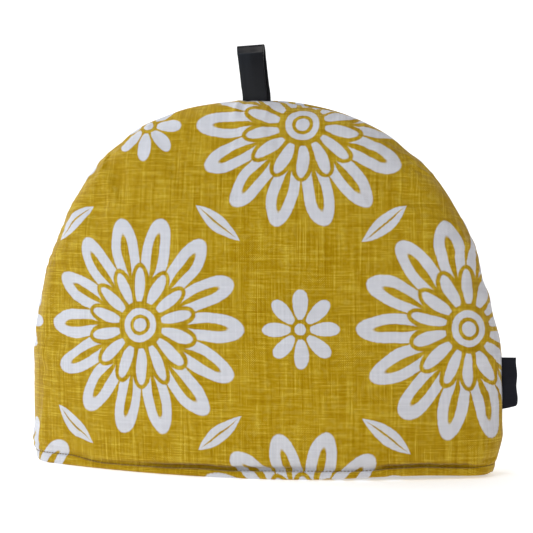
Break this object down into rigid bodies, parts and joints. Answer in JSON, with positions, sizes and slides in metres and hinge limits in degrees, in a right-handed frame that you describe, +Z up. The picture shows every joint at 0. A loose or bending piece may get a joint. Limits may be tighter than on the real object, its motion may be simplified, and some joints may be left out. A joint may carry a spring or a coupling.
{
  "type": "tea cosy",
  "caption": "Padded dome-shaped tea cosy of printed cloth, open at the hem, with a tape hanging loop in the top seam and a folded ribbon label in the side seam.",
  "frame": {"origin": "on the surface that the hem rests on, under the middle of the cosy", "axes": "+X along the arch to the right, where the label is, +Y through the cosy to the back, +Z up; the front faces -Y"},
  "size_m": [0.354, 0.1117, 0.3024],
  "materials": {
    "printed_linen": "matte slub weave of linen and cotton, mustard with white flowers",
    "tape": "matte charcoal twill tape",
    "ribbon": "satin charcoal ribbon, unprinted"
  },
  "bodies": {
    "root": {"front_panel": "printed_linen", "back_panel": "printed_linen", "hanging_loop": "tape", "side_label": "ribbon"}
  },
  "joints": []
}
